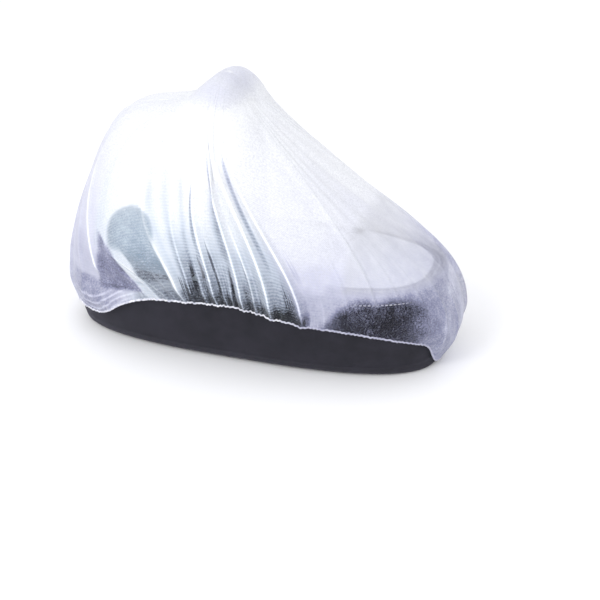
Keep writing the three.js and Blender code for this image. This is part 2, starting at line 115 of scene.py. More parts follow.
def angles(count):
    return np.arange(count) / count * 2 * math.pi


def pairs(a, b):
    """One row for each point of a grid, from its two values."""
    return np.stack(np.broadcast_arrays(a, b), -1).reshape(-1, 2)


def ring_at(centre, radius, first, second):
    """Circle of points, with one radius or one for each point."""
    a = angles(np.size(radius))
    return centre + np.outer(np.cos(a) * radius, first) + np.outer(np.sin(a) * radius, second)


def ramp_between(v, none, full):
    """0 at the first place, smoothly up or down to 1 at the second."""
    return smooth((v - none) / (full - none))


def on_near(side, values):
    """Values on the near side, 0 on the far side."""
    return np.where(side < 0, values, 0.0)


def path_walk(points):
    """Distance walked along a path to each of its points."""
    steps = np.linalg.norm(np.diff(points, axis=0), axis=1)
    return np.concatenate([[0], np.cumsum(steps)])


def read_table(rows, place):
    """Smooth cubic through the rows, flat beyond both ends."""
    x, y = rows[:, 0], rows[:, 1]
    p = np.clip(place, x[0], x[-1])
    i = np.clip(np.searchsorted(x, p, side="left") - 1, 0, len(x) - 2)
    before = np.maximum(np.arange(len(x)) - 1, 0)
    after = np.minimum(np.arange(len(x)) + 1, len(x) - 1)
    slope = (y[after] - y[before]) / (x[after] - x[before])
    span = x[i + 1] - x[i]
    t = (p - x[i]) / span
    rise = t * t * (3 - 2 * t)
    return (y[i] + (y[i + 1] - y[i]) * rise
            + t * (1 - t) ** 2 * slope[i] * span + t * t * (t - 1) * slope[i + 1] * span)


def waves(x, seed, low, high, count=7):
    """Uneven smooth signal of about -1 to 1 from a few sines of fixed random phase."""
    rng = np.random.default_rng(seed)
    total = np.zeros_like(np.asarray(x, float))
    for _ in range(count):
        f, p = rng.uniform(low, high), rng.uniform(0, 2 * math.pi)
        total = total + np.sin(2 * math.pi * f * x + p)
    return total / math.sqrt(count)


# The shape of the net
def walk_outline(steps=720):
    a = math.pi * (1 - np.arange(steps + 1) / steps)
    c, s = np.cos(a), np.maximum(0, np.sin(a))
    x = PLAN["middle"] + PLAN["a"] * np.sign(c) * np.abs(c) ** (2 / PLAN["square"])
    y = PLAN["b"] * s ** (2 / PLAN["square"])
    d = np.hypot(np.diff(x), np.diff(y))
    return x, y, np.concatenate([[0], np.cumsum(d)])


OUT_X, OUT_Y, OUT_WALK = walk_outline()
QUARTER = OUT_WALK[-1] / 2
LOOP = 4 * QUARTER


def outline_at(s):
    w = np.clip(s + QUARTER, 0, 2 * QUARTER)
    return np.interp(w, OUT_WALK, OUT_X), np.interp(w, OUT_WALK, OUT_Y)


def body_wall(dx, dy, z, offset):
    h = 1 - np.clip(z / BODY["high"], 0, 1)
    full = (1 - h ** BODY["full"]) ** (1 / BODY["full"])
    a = BODY["a"] * mix(BODY["end"], 1, full) + offset
    b = BODY["b"] * mix(BODY["side"], 1, full) + offset
    n = BODY["square"]
    r = (np.abs(dx / a) ** n + np.abs(dy / b) ** n) ** (-1 / n)
    return dx * r, dy * r


def around(x, values):
    u = (x - PLAN["middle"]) / PLAN["a"]
    end = np.where(u < 0, values["head"], values["foot"])
    return mix(values["side"], end, np.abs(u) ** 3)


def net_height(rim_x, r, x):
    base = around(rim_x, WIDEST)
    power = around(rim_x, ROUND)
    return base + (read_table(SPINE, x) - base) * np.sqrt(np.maximum(0, 1 - r ** power))


def place_on_loop(loop):
    lap = np.mod(loop + QUARTER, LOOP)
    near = lap <= 2 * QUARTER
    return np.where(near, lap - QUARTER, 3 * QUARTER - lap), np.where(near, -1.0, 1.0)


def meridians(loops, shares, steps=80, low_steps=14):
    """Points of the smooth net at every loop distance and share of the way up."""
    s, side = place_on_loop(loops)
    rim_x, rim_y = outline_at(s)
    hem_z = read_table(HEM_LINE, s)
    hem_x, hem_y = body_wall(rim_x, side * rim_y, hem_z, HEM_GAP)
    wide_z = around(rim_x, WIDEST)
    t = (np.arange(low_steps) / low_steps)[None, :]
    out = np.sin(t * math.pi / 2)
    col = lambda v: v[:, None]
    low = np.stack([
        mix(col(hem_x), col(rim_x), out),
        mix(col(hem_y), col(side * rim_y), out),
        mix(col(hem_z), col(wide_z), t)], -1)
    k = np.arange(steps + 1) / steps
    r = mix(np.cos(k * math.pi / 2), 1 - k, 0.5)[None, :]
    x = mix(CROWN_X, col(rim_x), r)
    high = np.stack([x, col(side * rim_y) * r, net_height(col(rim_x), r, x)], -1)
    points = np.concatenate([low, high], 1)
    d = np.linalg.norm(np.diff(points, axis=1), axis=2)
    walked = np.concatenate([np.zeros((len(loops), 1)), np.cumsum(d, 1)], 1)
    grid = np.empty((len(loops), len(shares), 3))
    for i in range(len(loops)):
        want = shares * walked[i, -1]
        for j in range(3):
            grid[i, :, j] = np.interp(want, walked[i], points[i, :, j])
    return grid, walked[:, -1]


class SmoothNet:
    """Smooth net, sampled once and then read by interpolation."""

    def __init__(self, around_count=1200, up_count=240):
        self.n, self.m = around_count, up_count
        loops = np.arange(around_count) * LOOP / around_count
        self.grid, self.length = meridians(loops, np.linspace(0, 1, up_count + 1))
        step = 4
        along = np.roll(self.grid, -step, 0) - np.roll(self.grid, step, 0)
        up = np.empty_like(self.grid)
        up[:, 2:-2] = self.grid[:, 4:] - self.grid[:, :-4]
        up[:, :2] = self.grid[:, 4:5] - self.grid[:, :1]
        up[:, -2:] = self.grid[:, -1:] - self.grid[:, -5:-4]
        normal = np.cross(along, up)
        normal[:, -1] = (0, 0, 1)
        self.normal = unit(normal)

    def at(self, loop, share):
        u = np.mod(loop / LOOP, 1) * self.n
        v = np.clip(share, 0, 1) * self.m
        i0, j0 = np.floor(u).astype(int) % self.n, np.minimum(np.floor(v).astype(int), self.m - 1)
        i1, j1 = (i0 + 1) % self.n, j0 + 1
        fu, fv = (u - np.floor(u))[..., None], (v - j0)[..., None]

        def read(field):
            low = mix(field[i0, j0], field[i1, j0], fu)
            high = mix(field[i0, j1], field[i1, j1], fu)
            return mix(low, high, fv)

        return read(self.grid), unit(read(self.normal))


def all_folds():
    rows = list(NEAR_FOLDS)
    for i in range(FAR_FOLDS["count"]):
        even = mix(FAR_FOLDS["start"], FAR_FOLDS["end"], i / (FAR_FOLDS["count"] - 1))
        wave = math.sin(i * 2.4) + 0.5 * math.sin(i * 5.1)
        rows.append((
            2 * QUARTER - (even + 9 * wave),
            -(FAR_FOLDS["lean"] * even + 8 * wave),
            FAR_FOLDS["by"],
            FAR_FOLDS["high"] * (1 + 0.3 * math.sin(i * 3.7)),
            FAR_FOLDS["reach"] * (1 + 0.35 * math.sin(i * 1.9 + 1))))
    return np.array(rows)


FOLDS = all_folds()
FOLD_COUNT = len(FOLDS)


def fold_at(index, share):
    fold = FOLDS[index % FOLD_COUNT]
    lap = np.floor_divide(index, FOLD_COUNT) * LOOP
    loop = fold[..., 0] + fold[..., 1] * smooth(share / fold[..., 2]) + lap
    return loop, fold[..., 3] * (1 - smooth(share / fold[..., 4]))


def turn_at_hem(base_loop):
    """Place on the hem counted in folds, from a place in millimetres."""
    places = np.concatenate([[FOLDS[-1, 0] - LOOP], FOLDS[:, 0], [FOLDS[0, 0] + LOOP]])
    return np.interp(base_loop, places, np.arange(-1, FOLD_COUNT + 1))


def ridge(distance, high):
    """Cross-section of a fold, which leans over to the foot side."""
    reach = RIDGE["reach"] + RIDGE["by_height"] * high
    reach = reach * np.where(distance > 0, RIDGE["foot_side"], RIDGE["head_side"])
    return bell(distance, 0, reach)


def crest_line(distance, high):
    """1 on the crest of a high fold, less on a low one and away from it."""
    return np.minimum(1, high / CREST["full_height"]) * bell(distance, 0, CREST["width"])


def column_at(turn, share):
    """Loop distance, fold height and crest line (0 to 1) of a column; turn counts folds."""
    index = np.floor(turn).astype(int)
    part = turn - index
    loop_a, high_a = fold_at(index, share)
    loop_b, high_b = fold_at(index + 1, share)
    shrink = np.clip(1.08 - share, 0.15, 1)
    from_a = part * (loop_b - loop_a) * shrink
    from_b = (part - 1) * (loop_b - loop_a) * shrink
    high = high_a * ridge(from_a, high_a) + high_b * ridge(from_b, high_b)
    start = mix(HEM_FOLD_SHARE, 1, smooth(share / FOLD_FULL_AT))
    crest = np.maximum(crest_line(from_a, high_a), crest_line(from_b, high_b))
    return mix(loop_a, loop_b, part), high * start, crest


def within(s, span):
    """1 in the middle of the tuck or the lobe, 0 at its ends and beyond."""
    return bump(2 * (s - span["start"]) / (span["end"] - span["start"]) - 1)


def tuck_height(s):
    along = np.clip((s - TUCK["start"]) / (TUCK["end"] - TUCK["start"]), 0, 1)
    return mix(TUCK["head_z"], TUCK["foot_z"], along ** 2)


def corner_swell(s, side, z):
    """Tuck and lobe of the near head corner."""
    swell = (LOBE["proud"] * within(s, LOBE) * bump((z - LOBE["z"]) / LOBE["high"])
             - TUCK["deep"] * within(s, TUCK) * bump((z - tuck_height(s)) / TUCK["high"]))
    return on_near(side, swell)


# The darker arched panel on the near side of the hood: height, head edge and foot edge.
ARCH = np.array([
    (160, -286, -106), (210, -298, -127), (248, -303, -144), (285, -304, -166), (312, -297, -172),
    (333, -281, -178), (346, -264, -187), (356, -246, -200), (363, -226, -216),
], float)


def arch_at(x, z):
    """1 inside the arched panel, 0 outside it."""
    head, foot = read_table(ARCH[:, [0, 1]], z), read_table(ARCH[:, [0, 2]], z)
    in_x = ramp_between(x, head - 4, head + 11) * ramp_between(x, foot + 4, foot - 11)
    return in_x * ramp_between(z, 372, 350)


# Meshes
def new_object(name, data):
    obj = bpy.data.objects.new(name, data)
    bpy.context.scene.collection.objects.link(obj)
    return obj


def mesh_object(name, points, faces):
    data = bpy.data.meshes.new(name)
    data.from_pydata(np.asarray(points, float).tolist(), [], faces)
    data.validate()
    data.update()
    data.polygons.foreach_set("use_smooth", [True] * len(data.polygons))
    return new_object(name, data)


def ring_faces(rows, columns, start=0, closed=True):
    i = np.arange(rows - 1)[:, None]
    j = np.arange(columns if closed else columns - 1)[None, :]
    k = (j + 1) % columns
    base = start + i * columns
    quads = np.stack([base + j, base + k, base + columns + k, base + columns + j], -1)
    return quads.reshape(-1, 4).tolist()


def fan_faces(row_start, columns, pole, flip=False):
    j = np.arange(columns)
    k = (j + 1) % columns
    fan = np.stack([row_start + j, row_start + k, np.full(columns, pole)], -1)
    return (fan[:, ::-1] if flip else fan).tolist()


def chain_object(name, loops, first, last):
    """Closed form from loops of equal count, ending in a point at each end."""
    rows, columns = len(loops), len(loops[0])
    n = rows * columns
    faces = ring_faces(rows, columns) + fan_faces(0, columns, n, flip=True)
    faces += fan_faces(n - columns, columns, n + 1)
    return mesh_object(name, np.vstack([*loops, first, last]) * MM, faces)


def shell_object(name, outer, inner, flip=False):
    """Closed shell between two open grids of points."""
    rows, columns = outer.shape[:2]
    n = rows * columns
    faces = ring_faces(rows, columns, closed=False)
    faces += [f[::-1] for f in ring_faces(rows, columns, start=n, closed=False)]
    rim = [(j + 1, j) for j in range(columns - 1)]
    for i in range(0, n - columns, columns):
        rim += [(i, i + columns), (i + 2 * columns - 1, i + columns - 1)]
    faces += [[a, b, n + b, n + a] for a, b in rim]
    if flip:
        faces = [f[::-1] for f in faces]
    points = np.vstack([outer.reshape(-1, 3), inner.reshape(-1, 3)])
    return mesh_object(name, points * MM, faces)


def point_attribute(obj, name, values):
    attribute = obj.data.attributes.new(name, "FLOAT", "POINT")
    attribute.data.foreach_set("value", np.asarray(values, np.float32).ravel())


def set_uv(obj, uv):
    """uv has one row a point, in metres of cloth."""
    layer = obj.data.uv_layers.new(name="cloth")
    loops = np.empty(len(obj.data.loops), np.int32)
    obj.data.loops.foreach_get("vertex_index", loops)
    layer.data.foreach_set("uv", np.asarray(uv, np.float32)[loops].ravel())


# Materials
NET_LOOK = dict(
    cell=0.0030, rib=0.0072, rib_wander=9.0, ripple=0.12, plain_ripple=0.010,
    alpha=0.80, thinning=0.72, crest_alpha=0.5, weave_alpha=0.16, grain_alpha=0.5,
    least_alpha=0.08, most_alpha=0.98, ragged_tone=0.8, grain_tone=-0.25, crest_tone=0.6)
# Colours of the net from pale to the dark of its painted shade, on its ends and in its folds.
LAVENDER = [
    (0.0, (0.86, 0.87, 0.90)), (0.25, (0.60, 0.61, 0.74)), (0.55, (0.25, 0.26, 0.39)),
    (1.0, (0.02, 0.022, 0.034))]
TEAL = [
    (0.0, (0.85, 0.87, 0.90)), (0.25, (0.57, 0.63, 0.72)), (0.55, (0.25, 0.285, 0.36)),
    (1.0, (0.016, 0.02, 0.024))]
# Stitches, in metres, and where they run on the body and on the foot cover.
STITCH = dict(
    pitch=0.0095, half_width=0.0014, colour=(0.80, 0.80, 0.84), rim_height=0.190, rim_start=0.1,
    cover_row=0.013)


def new_material(name):
    material = bpy.data.materials.new(name)
    material.use_nodes = True
    tree = material.node_tree
    return material, tree, tree.nodes["Principled BSDF"]


def node(tree, kind, **values):
    made = tree.nodes.new(kind)
    for key, value in values.items():
        if key in made.inputs:
            made.inputs[key].default_value = value
        else:
            setattr(made, key, value)
    return made


def link(a, b):
    a.id_data.links.new(a, b)


def set_inputs(shader, values):
    for name, value in values.items():
        shader.inputs[name].default_value = value


def math_node(operation, *values, clamp=False):
    """A sum on sockets and plain numbers."""
    tree = next(v.id_data for v in values if not isinstance(v, (int, float)))
    made = node(tree, "ShaderNodeMath", operation=operation, use_clamp=clamp)
    for socket, value in zip(made.inputs, values):
        if isinstance(value, (int, float)):
            socket.default_value = value
        else:
            link(value, socket)
    return made.outputs[0]


def add(a, b):
    return math_node("ADD", a, b)


def minus(a, b, clamp=False):
    return math_node("SUBTRACT", a, b, clamp=clamp)


def times(a, b, clamp=False):
    return math_node("MULTIPLY", a, b, clamp=clamp)


def sine(length, pitch):
    """Sine of a length, with one wave to a pitch."""
    return math_node("SINE", times(length, 2 * math.pi / pitch))


def ramp(factor, stops):
    made = node(factor.id_data, "ShaderNodeValToRGB")
    link(factor, made.inputs[0])
    elements = made.color_ramp.elements
    while len(elements) < len(stops):
        elements.new(0.5)
    for element, (place, colour) in zip(elements, stops):
        element.position = place
        element.color = (*colour, 1)
    return made.outputs[0]


def bump_into(shader, height, strength, distance):
    made = node(height.id_data, "ShaderNodeBump", Strength=strength, Distance=distance)
    link(height, made.inputs["Height"])
    link(made.outputs[0], shader.inputs["Normal"])


def cloth_map(tree):
    return node(tree, "ShaderNodeUVMap", uv_map="cloth").outputs[0]


def object_place(tree):
    return node(tree, "ShaderNodeTexCoord").outputs["Object"]


def attribute(tree, name):
    return node(tree, "ShaderNodeAttribute", attribute_name=name).outputs["Fac"]


def split_xyz(vector):
    made = node(vector.id_data, "ShaderNodeSeparateXYZ")
    link(vector, made.inputs[0])
    return list(made.outputs)


def noise(vector, scale, detail, roughness=0.5):
    made = node(
        vector.id_data, "ShaderNodeTexNoise", Scale=scale, Detail=detail, Roughness=roughness)
    link(vector, made.inputs["Vector"])
    return made.outputs[0]


def threads(across, up, pitch):
    """Height of a plain weave, 0 to 1, from two lengths in metres."""
    return math_node("MULTIPLY_ADD", times(sine(across, pitch), sine(up, pitch)), 0.5, 0.5)


def weave(vector, pitch):
    return threads(*split_xyz(vector)[:2], pitch)


def net_material():
    """Sheer mesh: its cloth is densest on the crests and clear in the hollows; its colour is
    darkened by painted shade and lightened on the crests as a painted highlight.
    """
    material, tree, shader = new_material("net_mesh")
    look, cloth, place = NET_LOOK, cloth_map(tree), object_place(tree)
    crest, shade, clear, cool = (
        attribute(tree, name) for name in ("crest", "shade", "clear", "cool"))
    cells = weave(cloth, look["cell"])
    grain = minus(noise(place, 250.0, 3.0, 0.8), 0.5)
    cloud = minus(noise(place, 24.0, 4.0, 0.6), 0.5)
    ragged = add(times(grain, 3.0), times(cloud, 1.2))

    presence = times(times(clear, clear), 2.2, clamp=True)
    thin = minus(add(times(clear, 1.35), times(ragged, presence)), 0.12, clamp=True)
    alpha = minus(look["alpha"], times(thin, look["thinning"]))
    alpha = add(alpha, times(crest, look["crest_alpha"]))
    alpha = add(alpha, times(minus(cells, 0.5), look["weave_alpha"]))
    alpha = add(alpha, times(grain, look["grain_alpha"]))
    alpha = math_node("MAXIMUM", alpha, look["least_alpha"])
    alpha = math_node("MINIMUM", alpha, look["most_alpha"])
    link(alpha, shader.inputs["Alpha"])

    rows = times(split_xyz(cloth)[1], 2 * math.pi / look["rib"])
    ribs = math_node("SINE", add(rows, times(cloud, look["rib_wander"])))
    ripple = add(times(times(shade, cool), look["ripple"]), look["plain_ripple"])
    # Tone: painted shade from the shade attribute, with random grain and ripples, less on the
    # crests, which are painted lighter as a highlight.
    tone = times(shade, add(times(ragged, look["ragged_tone"]), 1.0))
    tone = add(tone, times(grain, look["grain_tone"]))
    tone = add(tone, times(ribs, ripple))
    tone = minus(tone, times(crest, look["crest_tone"]), clamp=True)
    colour = mix_colours(cool, ramp(tone, LAVENDER), ramp(tone, TEAL))
    link(colour, shader.inputs["Base Color"])
    set_inputs(shader, {
        "Roughness": 0.62, "Sheen Weight": 0.3, "Sheen Roughness": 0.4, "Specular IOR Level": 0.3})
    bump_into(shader, cells, 0.35, 0.0006)
    return material


def hem_material():
    material, tree, shader = new_material("hem_elastic")
    cloth = cloth_map(tree)
    soft = noise(cloth, 60.0, 3.0)
    colour = ramp(soft, [(0.35, (0.50, 0.51, 0.62)), (0.62, (0.88, 0.88, 0.93))])
    link(colour, shader.inputs["Base Color"])
    set_inputs(shader, {"Roughness": 0.7, "Sheen Weight": 0.3})
    bump_into(shader, weave(cloth, 0.0024), 0.5, 0.0006)
    return material


def cloth_material(name, dark, light, pitch, roughness=0.85, sheen=0.2, tint=(1, 1, 1)):
    """Woven cloth, mottled between two colours, with threads at a pitch in metres."""
    material, tree, shader = new_material(name)
    place = object_place(tree)
    soft = noise(place, 18.0, 4.0, 0.6)
    fine = noise(place, 900.0, 2.0)
    x, y, z = split_xyz(place)
    woven = threads(add(x, y), z, pitch)
    blend = add(times(soft, 0.75), times(add(woven, fine), 0.125))
    link(ramp(blend, [(0.3, dark), (0.7, light)]), shader.inputs["Base Color"])
    set_inputs(shader, {
        "Roughness": roughness, "Sheen Weight": sheen, "Sheen Roughness": 0.45,
        "Sheen Tint": (*tint, 1), "Specular IOR Level": 0.25})
    bump_into(shader, add(woven, times(fine, 0.5)), 0.5, pitch * 0.35)
    return material


def mix_colours(amount, first, second):
    """Colour from first, at 0, to second, at 1; second may be a plain colour."""
    both = node(amount.id_data, "ShaderNodeMix", data_type="RGBA")
    link(amount, both.inputs["Factor"])
    link(first, both.inputs["A"])
    if isinstance(second, tuple):
        both.inputs["B"].default_value = (*second, 1)
    else:
        link(second, both.inputs["B"])
    return both.outputs["Result"]


def blend_colour(material, amount, colour):
    """Turn a material to another colour where the amount, an attribute's name or a socket, is 1."""
    tree = material.node_tree
    shader = tree.nodes["Principled BSDF"]
    before = shader.inputs["Base Color"].links[0].from_socket
    if isinstance(amount, str):
        amount = attribute(tree, amount)
    link(mix_colours(amount, before, colour), shader.inputs["Base Color"])


def stitches(tree, row):
    """1 on a row of short stitches at a height of the cloth's map, 0 elsewhere."""
    run, height, _ = split_xyz(cloth_map(tree))
    off = math_node("ABSOLUTE", minus(height, row))
    on_row = math_node("LESS_THAN", off, STITCH["half_width"])
    return times(on_row, math_node("GREATER_THAN", sine(run, STITCH["pitch"]), -0.3))


def rim_stitches(tree):
    """1 on the stitches below the body's rim, which are only at its foot end."""
    x = split_xyz(object_place(tree))[0]
    at_foot = math_node("GREATER_THAN", x, STITCH["rim_start"])
    return times(stitches(tree, STITCH["rim_height"]), at_foot)


def plastic_material():
    material, tree, shader = new_material("pivot_plastic")
    place = object_place(tree)
    grain = noise(place, 700.0, 3.0)
    soft = noise(place, 30.0, 3.0)
    colour = ramp(soft, [(0.3, (0.006, 0.006, 0.009)), (0.75, (0.02, 0.02, 0.026))])
    link(colour, shader.inputs["Base Color"])
    rough = node(tree, "ShaderNodeMapRange")
    link(soft, rough.inputs["Value"])
    set_inputs(rough, {"To Min": 0.42, "To Max": 0.6})
    link(rough.outputs[0], shader.inputs["Roughness"])
    bump_into(shader, grain, 0.25, 0.0004)
    return material


# The net
NET_ROWS = 94
# Stretches of the loop and the spacing of the net's columns in each.
COLUMN_SPACING = [
    (-QUARTER, -350, 2.6), (-350, 350, 1.5), (350, QUARTER, 2.6), (QUARTER, 3 * QUARTER, 4)]

# Below, a place is counted in folds along the hem, and a share is one of the way up the net.
# Hollows between folds, where the net's colour gets painted shade: place, lowest and highest share,
# half width, painted shade, how clear.
HOLLOWS = [
    (9.85, -0.12, 0.105, 1.05, 1.0, 0.6), (10.60, -0.02, 0.190, 0.36, 1.0, 0.6),
    (11.50, 0.10, 0.205, 0.24, 0.95, 0.5), (11.45, -0.12, 0.130, 0.55, 0.85, 0.5),
    (12.85, 0.02, 0.275, 0.24, 0.90, 0.5), (12.60, -0.12, 0.120, 0.42, 0.9, 0.5),
    (14.30, -0.04, 0.200, 0.24, 1.0, 0.6), (13.50, -0.12, 0.110, 0.34, 0.8, 0.5),
    (15.50, -0.10, 0.150, 0.36, 0.5, 0.5), (15.90, 0.00, 0.240, 0.24, 0.5, 0.3),
    (11.72, 0.12, 0.520, 0.38, 0.46, 0.0), (14.45, 0.10, 0.680, 0.85, 0.44, 0.0),
    (17.80, 0.08, 0.660, 0.34, 0.42, 0.0), (17.35, -0.12, 0.095, 0.26, 0.8, 0.6),
    (18.45, -0.12, 0.150, 0.66, 0.75, 0.5), (16.50, -0.12, 0.110, 0.34, 0.5, 0.4),
    (19.35, -0.05, 0.300, 0.30, 0.30, 0.0), (8.40, 0.02, 0.220, 0.50, 0.34, 0.0),
]
# Painted shade of the gathered stretch of the hem, by the place.
GATHER_SHADE = np.array([
    (9.4, 0), (10.0, 0.46), (11.5, 0.52), (14.0, 0.44), (16.0, 0.32), (18.6, 0.28), (19.4, 0),
], float)
# Painted shade just above the near hem, by the place.
LOW_SHADE = np.array([
    (4, 0), (6, 0.12), (7.5, 0.30), (14, 0.34), (15.5, 0.48), (19.1, 0.48), (19.4, 0),
], float)
# How strongly the crest lines of the folds show, by the place: their cloth is denser and their
# colour painted lighter as a highlight.
CREST_SHOW = np.array([
    (-1, 0.2), (2, 0.2), (3, 0.5), (4, 0.15), (8, 0.2), (8.6, 0.1), (9, 0.45), (10, 0.65),
    (17, 0.62), (17.5, 0.35), (18.6, 0.35), (19, 0.55), (19.6, 0.15), (27, 0.1), (60, 0.3),
], float)
# Columns of ripples on the side of the hood: places, and how they drift upwards.
RIPPLES = dict(places=(9.30, 9.90, 10.75), half=0.17, drift=1.8, above=0.33, top=0.62, shade=0.15)
# Upper edge of the dark wall that shows through at the foot end, by the place on the outline.
WALL_TOP = np.array([
    (180, 136), (222, 158), (250, 184), (292, 206), (341, 200), (390, 205), (441, 196),
    (490, 172), (540, 130),
], float)
# The wedge of shade behind the tuck ends at a slanting line through this point.
WEDGE = dict(x=-306, z=255, slant=1.4)
# Broad regions of the net: products of ramps of (value, where it is 0, where it is 1).
REGIONS = dict(
    foot_end=[("x", 170, 430)],
    head_end=[("x", -235, -415)],
    foot_low=[("x", 90, 210), ("z", 330, 170)],
    top=[("z", 565, 610)],
    low=[("z", 380, 180)],
    middle=[("x", -10, 80), ("z", 490, 400)],
    gathered=[("share", 0.42, 0)],
    by_hem=[("share", 0.09, 0.03)],
    wall=[("s", 195, 265), ("under_wall_top", -14, 24), ("s", 505, 365)],
    densest=[("s", 290, 340), ("s", 420, 370)],
    far_low=[("z", 200, 170), ("from_end", 0, 140)],
    wedge=[("x", -345, -321), ("over_tuck", -24, -12), ("past_wedge", 4, -4)],
    band=[("past_wedge", -4, 2), ("past_wedge", 30, 22), ("z", 262, 232)],
    above_tuck=[("over_tuck", 0, 20)],
    below_tuck=[("over_tuck", 6, -8)],
    flank=[("x", -250, -210), ("turn", 9.1, 8.6), ("z", 300, 240)],
    cover=[("x", 238, 278), ("z", 205, 230), ("z", 400, 320)],
    cool=[("turn", 3.5, 5), ("turn", 19.5, 18), ("z", 600, 450)],
    coolest=[("z", 450, 330)],
    peak=[("z", 420, 490), ("z", 585, 555)],
)
# Painted shade that each region adds to the net's colour; the wall's and the arch's stand for the
# dark body and the darker hood panel seen through the net.
SHADES = dict(
    least=0.02, ends=0.13, head_more=1.4, foot_low=0.17, top=0.13, low=0.11, middle=0.05,
    wall=0.48, arch=0.17, flank=0.14, wedge=0.58, lobe=0.28, tuck=0.45)
CLEARS = dict(wall=0.56, densest=0.22, far_low=0.5, arch=0.42, flank=0.30, cover=0.29)
# Details of the net's shape, in millimetres, with the tuck's crease painted as a line of shade, and
# the crests of the bunched cloth, the fan and the peak painted lighter as highlights.
TUCK_LINE = dict(above=5, half=4)
BUNCH = dict(below=6, half=2, high=1.2, crest=0.12)
PLUMP = dict(none=200, full=170, flatten=0.7)
FAN = dict(ridges=3.2, wander=0.5, high=1.4, crest=0.3, top=1.15)
PEAK = dict(x=-70, half=100, crest=0.3)
GATHERS = dict(pitch=10.5, wander=1.8, share=0.085, uneven=0.03, high=1.2, crest=0.45)
STRANDS = dict(share=0.3, high=0.9, crest=0.4)
SLACK_HIGH = 1.2


def net_shares():
    """Shares of the way up, closer together near the hem."""
    t = np.linspace(0, 1, NET_ROWS + 1)[:-1]
    return t ** 1.25 * (0.8 + 0.2 * t)


def hollows_at(turn, share):
    """Painted shade and clearness of the hollows between the folds."""
    shade, clear = np.zeros(turn.shape), np.zeros(turn.shape)
    ragged = 0.03 * waves(turn, 31, 2, 9)
    for place, low, high, half, dark, thin in HOLLOWS:
        up = np.clip((share - low) / (high - low + ragged), 0, 1)
        narrow = half * np.sqrt(np.maximum(0.02, 1 - up ** 2))
        soft = np.exp(-(np.abs(turn - place) / narrow) ** 3)
        soft = soft * smooth(4 * up) * smooth(4 * (1 - up))
        shade = np.maximum(shade, dark * soft)
        clear = np.maximum(clear, thin * soft)
    return shade, clear


def region_parts(values):
    """Every region's product of its ramps, 0 to 1."""
    parts = {}
    for name, ramps in REGIONS.items():
        parts[name] = 1.0
        for value, none, full in ramps:
            parts[name] = parts[name] * ramp_between(values[value], none, full)
    return parts


def regions_at(s, side, point, turn, share):
    """Painted shade, clearness and coolness of the broad regions, and the denser cloth of the peak,
    which is also painted lighter.
    """
    x, z = point[..., 0], point[..., 2]
    near = side < 0
    over_tuck = z - tuck_height(s)
    part = region_parts(dict(
        x=x, z=z, s=s, turn=turn, share=share, over_tuck=over_tuck, from_end=QUARTER - np.abs(s),
        under_wall_top=read_table(WALL_TOP, s) - z,
        past_wedge=(z - WEDGE["z"] + x - WEDGE["x"]) / WEDGE["slant"]))
    wedge = near * part["wedge"]
    arch = near * arch_at(x, z) * part["above_tuck"] * (1 - part["band"]) * (1 - wedge)
    flank = near * part["flank"] * (1 - part["band"])
    lobe = near * within(s, LOBE) * part["below_tuck"]
    tuck = near * within(s, TUCK) * bell(over_tuck, TUCK_LINE["above"], TUCK_LINE["half"])

    shade = SHADES["least"] + near * (
        read_table(GATHER_SHADE, turn) * part["gathered"]
        + read_table(LOW_SHADE, turn) * part["by_hem"] + ripples_at(turn, share)
        + SHADES["wall"] * part["wall"] + SHADES["middle"] * part["middle"])
    for name in ("foot_low", "top", "low"):
        shade = shade + SHADES[name] * part[name]
    ends = np.maximum(part["foot_end"], SHADES["head_more"] * part["head_end"])
    shade = (shade + SHADES["ends"] * ends) * (1 - 0.4 * part["cover"] * near)
    shade = shade + SHADES["arch"] * arch + SHADES["flank"] * flank
    shade = np.maximum(shade, SHADES["wedge"] * wedge)
    shade = np.maximum(shade * (1 - 0.2 * lobe) + SHADES["lobe"] * lobe, SHADES["tuck"] * tuck)

    wall_clear = (CLEARS["wall"] + CLEARS["densest"] * part["densest"]) * part["wall"]
    clear = np.where(near, wall_clear, CLEARS["far_low"] * part["far_low"])
    for name, amount in (("arch", arch), ("flank", flank), ("cover", part["cover"])):
        clear = np.maximum(clear, CLEARS[name] * amount)
    cool = near * part["cool"] * mix(0.45, 1, part["coolest"]) * (1 - wedge) * (1 - 0.8 * lobe)
    dense_and_lit = near * bump((x - PEAK["x"]) / PEAK["half"]) * part["peak"]
    return shade, clear * (1 - 0.9 * lobe), cool, dense_and_lit


def ripples_at(turn, share):
    """Shade of the ripple columns."""
    place_there = turn + RIPPLES["drift"] * np.maximum(0, share - RIPPLES["above"])
    columns = sum(bell(place_there, place, RIPPLES["half"]) for place in RIPPLES["places"])
    top = RIPPLES["top"]
    return RIPPLES["shade"] * columns * smooth(share / 0.15) * ramp_between(share, top, top - 0.2)


def lobe_fan(s, side, share):
    """Small ridges that fan out over the lobe from the foot end of the tuck."""
    up = share / np.maximum(0.01, tuck_share(s))
    wander = FAN["wander"] * waves(s / LOOP, 14, 4, 12)
    ridges = np.sin(2 * math.pi * (FAN["ridges"] * up + wander))
    fade = within(s, LOBE) * smooth(4 * (FAN["top"] - up))
    return on_near(side, smooth(2.2 * ridges - 1.0) * fade)


def tuck_share(s):
    """Share of the way up at which the tuck lies, by the place on the outline."""
    return np.interp(s, [-487, -387, -284, -201, -168], [0.07, 0.09, 0.06, 0.04, 0.02])


